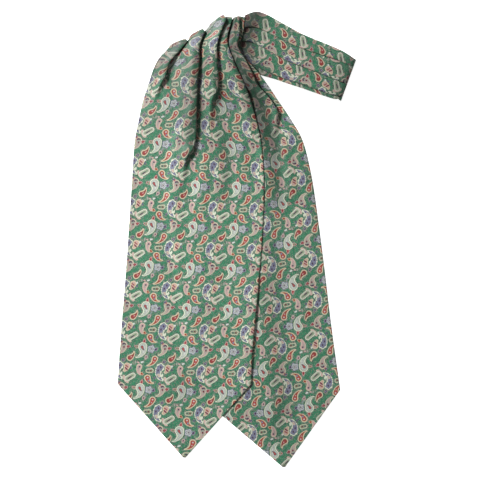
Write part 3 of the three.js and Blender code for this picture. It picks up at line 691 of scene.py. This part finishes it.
def make_mesh(name, rings, cloth, painted_shade, caps=True):
    """A smooth mesh from closed rings of points in millimetres, with cloth coordinates and the
    painted shade that darkens the cloth's colour deep between its folds.

    caps closes both ends of a wall, whose rings run along its upper side and back. Otherwise the
    first ring alone is closed, with one face.
    """
    count, size = rings.shape[:2]
    grid = np.arange(count * size).reshape(count, size)
    grid = np.concatenate([grid, grid[:, :1]], axis=1)
    quads = np.stack([grid[:-1, :-1], grid[1:, :-1], grid[1:, 1:], grid[:-1, 1:]], axis=-1)
    faces = quads.reshape(-1, 4).tolist()
    if caps:
        half = (size - 2) // 2
        for row, flip in ((0, False), (count - 1, True)):
            upper = np.arange(half)
            lower = 2 * half - upper
            cap = np.stack([upper[:-1], upper[1:], lower[1:], lower[:-1]], axis=-1) + row * size
            ends = np.array([[half - 1, half, half + 1], [0, half * 2, half * 2 + 1]]) + row * size
            order = -1 if flip else 1
            faces += cap[:, ::order].tolist() + ends[:, ::order].tolist()
    else:
        faces.append(list(range(size)))
    mesh = bpy.data.meshes.new(name)
    mesh.from_pydata((rings.reshape(-1, 3) * MM).tolist(), [], faces)
    mesh.update()
    loops = np.empty(len(mesh.loops), int)
    mesh.loops.foreach_get("vertex_index", loops)
    layer = mesh.uv_layers.new(name="cloth")
    layer.data.foreach_set("uv", (cloth.reshape(-1, 2)[loops] / REPEAT).ravel())
    mesh.attributes.new("painted_shade", "FLOAT", "POINT").data.foreach_set("value", painted_shade.ravel())
    mesh.polygons.foreach_set("use_smooth", np.ones(len(mesh.polygons), bool))
    piece = bpy.data.objects.new(name, mesh)
    bpy.context.collection.objects.link(piece)
    return piece


def back_lift(x, y):
    """The height of the back blade's soft folds."""
    return soft_folds(x, y, BACK_FOLDS)


back_points, back_cloth, back_painted_shade = blade_surface(
    BACK_PLAN,
    BACK_TURNED,
    BACK_RISE,
    at=np.concatenate([np.arange(0, 8, 0.1), np.arange(8, 13.01, 0.125)]),
    strips=(40, 30),
    lift=back_lift,
    tip=BACK_TIP,
    shares=np.linspace(0.08, 1, 18),
    roll=(),
    datum=-1,
)
# Painted shadow of the front blade's right border on the strip beside it, from the neck down to where it
# fades
shade_x, shade_y = np.transpose(SHADE_BORDER)
shade_x = np.interp(back_points[..., 1], shade_y, shade_x)
away = np.maximum(0, back_points[..., 0] - shade_x)
painted_border_shadow = ease(*SHADE_FADES, back_points[..., 1]) * np.exp(-((away / SHADE_WIDTH) ** 2))
back_blade = make_mesh(
    "back_blade_silk",
    back_points,
    print_from(back_cloth, back_points, BACK_PAISLEY, 180),
    add_painted_shade(np.maximum(back_painted_shade, painted_border_shadow), back_points, BACK_SHADE_PATHS),
)
# The back blade's silk is painted darker, as shade for the poorer light it lies in
back_blade.data.materials.append(printed_silk("back silk", 0.9))
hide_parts("back_blade")
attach(back_blade, "root")

# Front blade
# The upper wide blade. Three knife pleats take it into the neck, where its cloth turns over the
# slanted fold and goes under. It lies on the floor on the left and on the back blade on the right.
# Sections from the neck down, each by its left border, its three folds and its right border
FRONT_PLAN = [
    [(-99, 184.5), (-56.5, 227), (-36.5, 237), (-12.5, 251), (-5.5, 251.6)],
    [(-101.2, 180), (-65.5, 216), (-42.6, 222), (-21.9, 226), (-11, 228)],
    [(-103.5, 172.5), (-77.5, 201.5), (-43.2, 202), (-22.4, 202.3), (-3, 203)],
    [(-106.5, 163.5), (-83, 180), (-45, 180), (-21.3, 181), (7.4, 181)],
    [(-109.6, 151), (-88, 158), (-45.7, 157), (-23.4, 158), (16, 158.5)],
    [(-112.8, 135.5), (-91.5, 137), (-46.3, 135), (-24.5, 136), (22.2, 136)],
    [(-116.7, 115.5), (-94, 115), (-47.5, 114), (-26, 114), (27.2, 114)],
    [(-118.8, 91), (-96.5, 91), (-53.5, 91), (-24, 91), (29.7, 91)],
    [(-120.5, 62), (-98, 62), (-54, 62), (-16, 62), (31, 62)],
    [(-123.3, 20), (-100.5, 20), (-55.5, 20), (-10, 20), (29.9, 20)],
    [(-126.6, -30), (-103.7, -30), (-58.2, -30), (-11.7, -30), (26.5, -30)],
    [(-131.4, -90), (-108.4, -90), (-63, -90), (-16.5, -90), (21.2, -90)],
    [(-134.7, -135), (-111.7, -135), (-66, -135), (-19.5, -135), (17.2, -135)],
    [(-136.6, -166.1), (-113.4, -166.1), (-67.5, -166.1), (-20.8, -166.1), (16.4, -166.1)],
]
# How far each pleat's cloth runs back, and how far the middle line is raised, at each section
FRONT_TURNED = [
    (12.4, 13.2, 12.6), (10.4, 13.2, 12.4), (5.2, 13.2, 8), (1.4, 13.6, 4), (0, 12.6, 1), (0, 7.8, 0.3),
    (0, 4, 0), (0, 1.1, 0), (0, 0, 0), (0, 0, 0), (0, 0, 0), (0, 0, 0), (0, 0, 0), (0, 0, 0),
]
FRONT_RISE = [
    (1.5, 5.4, 8.4, 10, 10.4), (0.6, 5.4, 8.6, 9.8, 11), (0, 4.6, 8, 9.2, 9.8), (0, 4.2, 7, 7.4, 7.4),
    (0, 3.8, 6, 5.2, 2.4), (0, 3, 4.6, 3.4, 0.6), (0, 2.2, 3.2, 2.2, 0.1), (0, 1.4, 1.8, 1.2, 0),
    (0, 0.6, 0.7, 0.5, 0), (0, 0.1, 0.1, 0.1, 0), (0, 0, 0, 0, 0), (0, 0, 0, 0, 0), (0, 0, 0, 0, 0),
    (0, 0, 0, 0, 0),
]
FRONT_TIP = (-60.2, -250.6)
FRONT_PAISLEY = (-64.3, -176.4)
# The gap at a seam, and how far outside the back blade's border this one starts and ends its rise
SEAM_GAP = 0.3
RAMP = (23.0, 12.0)
# Ridges beside the folds in the neck, puffs where the pleats open out, faint waves further down
FRONT_FOLDS = [
    ([(-50, 236), (-60, 226), (-70, 213), (-82, 198), (-88, 178)], 1.6, 5.0),
    ([(-30, 262), (-41, 236), (-49, 215), (-50, 195), (-51, 170), (-52, 145), (-54, 112)], 2.6, 6.0),
    ([(-6, 266), (-17, 247), (-27, 226), (-27, 203), (-27, 180), (-28, 157), (-30, 134)], 2.2, 5.0),
    ([(2, 264), (-11, 246), (-17, 226), (-9, 203), (1, 181), (9, 158), (15, 135), (20, 104)], 4.6, 7.0),
    ([(-70, 150), (-66, 110), (-68, 70), (-72, 30)], 1.8, 9.0),
    ([(-36, 120), (-36, 90), (-40, 60), (-44, 20)], 1.5, 7.0),
    ([(0, 150), (6, 120), (4, 80), (2, 40)], 1.6, 9.0),
    ([(-96, 60), (-98, 10), (-102, -60)], 0.8, 14.0),
    ([(-38, 0), (-42, -60), (-50, -120)], 0.7, 12.0),
    ([(8, 0), (6, -60), (0, -120)], 0.6, 10.0),
    ([(-50, -150), (-54, -180), (-60, -205)], 0.8, 9.0),
    ([(22, -40), (18, -90), (13, -140), (8, -180)], 1.9, 12.0),
]
# Painted shade along the rolled edge at the neck, the pleats' valleys as they open out, faint
# hollows further down, and the turned left border
FRONT_SHADE_PATHS = [
    ([(-112, 176), (-60, 232), (-38, 243), (-13, 256), (6, 262)], 0.78, 10.0),
    ([(-44, 226), (-46, 206), (-47, 172), (-49, 137), (-52, 109), (-56, 76)], 0.62, 12.0),
    ([(-24, 226), (-22, 196), (-22, 150), (-16, 110), (-14, 68), (-18, 30)], 0.3, 8.0),
    ([(-9, 130), (-10, 80), (-15, 36)], 0.35, 9.0),
    ([(-72, 205), (-66, 180), (-62, 150), (-60, 110), (-58, 80)], 0.25, 9.0),
    ([(-50, -140), (-60, -166), (-72, -204)], 0.3, 10.0),
    ([(-96, 196), (-112, 140), (-118, 91), (-124, 0), (-132, -90), (-139, -180)], 0.25, 5.0),
]


def front_lift(x, y):
    """The back blade's wall and a seam's gap, gained over a ramp outside its hidden border."""
    border = [BACK_TIP] + [row[0] for row in BACK_PLAN[:3:-1]]
    east = np.interp(y, [side[1] for side in border], [side[0] for side in border])
    ramp = ease(east - RAMP[0], east - RAMP[1], x)
    return ramp * (WALL + SEAM_GAP + back_lift(x, y)) + soft_folds(x, y, FRONT_FOLDS)


front_points, front_cloth, front_painted_shade = blade_surface(
    FRONT_PLAN,
    FRONT_TURNED,
    FRONT_RISE,
    at=np.concatenate([np.arange(0, 8, 0.1), np.arange(8, 13.01, 0.125)]),
    strips=(34, 24, 24, 24),
    lift=front_lift,
    tip=FRONT_TIP,
    shares=np.linspace(0.05, 1, 24),
    roll=np.pi * np.linspace(1, 0.08, 12),
    datum=0,
    belly=9.5,
)
# The leftmost pleat is shallow, so its painted shade is half as dark, and the neck has painted
# shade for its poor light
first_pleat = 0.5 + 0.5 * ease(-85.0, -60.0, front_points[..., 0])
neck_shade = 0.4 * ease(60.0, 200.0, front_points[..., 1])
front_painted_shade = np.maximum(front_painted_shade * first_pleat, neck_shade)
front_blade = make_mesh(
    "front_blade_silk",
    front_points,
    print_from(front_cloth, front_points, FRONT_PAISLEY),
    add_painted_shade(front_painted_shade, front_points, FRONT_SHADE_PATHS),
)
front_blade.data.materials.append(printed_silk("front silk", 1.0))
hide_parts("front_blade")
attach(front_blade, "root")

# Neckband
# The middle of the cravat, pleated lengthwise in three and folded back on itself at its right
# end. Its edges show the layers, and it goes under the blades at its left end, which stays open.
BAND_TOP = [
    (137.1, 206.4), (121, 216.9), (99, 226.3), (75, 236.3), (52, 248.9), (32.5, 259.3),
    (21, 261.6), (9.4, 257.6),
]
BAND_LOW = [
    (119.9, 159.3), (101, 164.8), (78, 173), (52, 181.8), (30, 188), (10, 194.4),
    (3, 197), (-3, 199),
]
# Where the three pleats' edges lie across the band, as shares of its width from the top
BAND_PLEATS = [
    (0.19, 0.607, 0.925), (0.22, 0.605, 0.93), (0.25, 0.6, 0.935), (0.271, 0.6, 0.94),
    (0.27, 0.56, 0.91), (0.27, 0.53, 0.86), (0.27, 0.53, 0.86), (0.27, 0.53, 0.86),
]
# The stack's middle height, and the rounded nose of its fold
BAND_MIDDLE = 4.2
NOSE_ROWS = 10
NOSE_DEPTH = 4.5
# The layered edge and a pleat's edge, as steps in from the edge and up
BAND_EDGE = [
    (1.2, 0), (0.3, 0.5), (0, 1.3), (0.3, 1.95), (2.6, 2.05), (2.6, 2.35), (0.3, 2.45), (0, 3.2),
    (0.3, 3.95), (5, 4.05), (5, 4.35), (0.3, 4.45), (0, 5.2), (0.5, 6.2), (1.5, 6.7),
]
BAND_LIP = [
    (-5.0, 6.2), (-1.2, 6.3), (4, 6.4), (4, 6.8), (0.3, 7.2), (-0.2, 8.0), (0.3, 8.9),
    (1.8, 9.3), (7, 8.9),
]
# Where one scroll of the print is on each strip, from the top strip down, and the print's heading
BAND_SCROLLS = [(76.2, 227.1), (75.0, 213.6), (71.6, 196.2), (71.6, 177.6)]
SCROLL = (30.6, -27.4)
BAND_HEADING = 65.8


def band_surface(at):
    """The neckband's rings of points and their cloth coordinates, in millimetres.

    A ring is a section of the folded stack. A point of it lies the share q / width of the way
    from the top border to the lower one, q being its step down from the top border, at the
    height up. Near the fold the heights are pressed to the middle one by 0.3 + 0.7 times the
    height of a quarter circle, and the points move in by a share of NOSE_DEPTH.
    """
    tops, lows, lips = (between(table, at) for table in (BAND_TOP, BAND_LOW, BAND_PLEATS))
    width = np.hypot(*(lows - tops).T)[:, None]
    columns, ups, strips = [], [], []
    for step, up in BAND_EDGE:
        columns.append(width - step)
        ups.append(up)
        strips.append(3)
    for number in (2, 1, 0):
        for place, (step, up) in enumerate(BAND_LIP):
            columns.append(lips[:, number, None] * width - step)
            ups.append(up)
            strips.append(number + 1 if place < 3 else number)
    for step, up in [(2.4, 7.4)] + BAND_EDGE[:0:-1]:
        columns.append(0 * width + step)
        ups.append(up)
        strips.append(0)
    q, up = np.concatenate(columns, axis=1), np.tile(ups, (len(at), 1)).astype(float)
    strips = np.array(strips)
    # Two rounds of corner cutting round off the section
    for _ in range(2):
        q, up = (
            np.stack(
                [0.25 * np.roll(v, 1, axis=1) + 0.75 * v, 0.75 * v + 0.25 * np.roll(v, -1, axis=1)],
                axis=-1,
            ).reshape(len(v), -1)
            for v in (q, up)
        )
        strips = np.repeat(strips, 2)
    # The rounded nose of the fold, whose rows all start at the band's end
    nose = np.linspace(0, 1, NOSE_ROWS) ** 1.5
    squeeze = np.ones(len(at))
    squeeze[:NOSE_ROWS] = 0.3 + 0.7 * np.sqrt(1 - (1 - nose) ** 2)
    inset = NOSE_DEPTH * np.clip(1 - at / 0.5, 0, 1)
    inset[:NOSE_ROWS] = NOSE_DEPTH * nose
    along_band = np.array(BAND_TOP[1], float) - BAND_TOP[0]
    along_band /= np.hypot(*along_band)
    plan = tops[:, None] + (lows - tops)[:, None] * (q / width)[..., None]
    plan += along_band * inset[:, None, None]
    height = BAND_MIDDLE + (up - BAND_MIDDLE) * squeeze[:, None]
    heading = np.radians(BAND_HEADING)
    east = np.array([np.cos(heading), np.sin(heading)])
    north = np.array([-np.sin(heading), np.cos(heading)])
    away = plan - np.array(BAND_SCROLLS)[strips]
    unit = REPEAT / CHART
    cloth = np.stack([away @ east + SCROLL[0] * unit, away @ north + SCROLL[1] * unit], axis=-1)
    return np.concatenate([plan, height[..., None]], axis=-1), cloth


band_at = np.concatenate([np.zeros(NOSE_ROWS), np.arange(0.06, 7.01, 0.07)])
band_points, band_cloth = band_surface(band_at)

# Painted shade: the end below the blades is darkened as their shadow, and the fold at the
# other end as turned from the light
BAND_SHADE_PATHS = [([(-4, 290), (2, 240), (8, 214), (20, 198), (32, 185), (52, 162)], 0.8, 11.0)]
band_painted_shade = np.maximum(ease(4.2, 5.8, band_at), 0.6 * (1 - ease(0.0, 1.3, band_at)))
band_painted_shade = np.repeat(band_painted_shade[:, None], band_points.shape[1], axis=1)
band_painted_shade = add_painted_shade(band_painted_shade, band_points, BAND_SHADE_PATHS)
neckband = make_mesh(
    "neckband_silk", band_points[:, ::-1], band_cloth[:, ::-1], band_painted_shade[:, ::-1], caps=False
)
# The band's silk is painted darker still, as shade for its poorer light
neckband.data.materials.append(printed_silk("band silk", 0.72))
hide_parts("neckband")
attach(neckband, "root")

# Folded layers
# The pleats' hidden layers below the front blade's neck, one rounded solid of plain dyed silk.
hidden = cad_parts["folded_layers"]
hidden_silk = bpy.data.materials.new("hidden silk")
hidden_silk.use_nodes = True
hidden_shader = hidden_silk.node_tree.nodes["Principled BSDF"]
hidden_shader.inputs["Base Color"].default_value = linear("green_deep")
hidden_shader.inputs["Roughness"].default_value = 0.55
hidden.data.materials.clear()
hidden.data.materials.append(hidden_silk)

# Floor and light
# A white table lit from within, one soft lamp at the upper left and weak light all round.
bpy.ops.mesh.primitive_plane_add(size=6, location=(0, 0, -0.0002))
floor = bpy.context.object
floor.name = "floor"
floor_material = bpy.data.materials.new("white table")
floor_material.use_nodes = True
floor_shader = floor_material.node_tree.nodes["Principled BSDF"]
floor_shader.inputs["Base Color"].default_value = (0.9, 0.9, 0.9, 1)
floor_shader.inputs["Roughness"].default_value = 0.9
floor_shader.inputs["Emission Color"].default_value = (1, 1, 1, 1)
floor_shader.inputs["Emission Strength"].default_value = 0.85
floor.data.materials.append(floor_material)

lamp = bpy.data.lights.new("soft lamp", "AREA")
lamp.shape = "DISK"
lamp.size = 0.5
lamp.energy = 61
lamp_object = bpy.data.objects.new("soft lamp", lamp)
lamp_object.location = (-1.3, 1.0, 1.3)
bpy.context.collection.objects.link(lamp_object)
aim = lamp_object.constraints.new("TRACK_TO")
aim.target = floor
aim.track_axis = "TRACK_NEGATIVE_Z"
aim.up_axis = "UP_Y"

world = bpy.data.worlds.new("studio")
world.use_nodes = True
background = world.node_tree.nodes["Background"]
background.inputs["Color"].default_value = (1, 1, 1, 1)
background.inputs["Strength"].default_value = 0.2
bpy.context.scene.world = world
bpy.context.scene.view_settings.view_transform = "Standard"
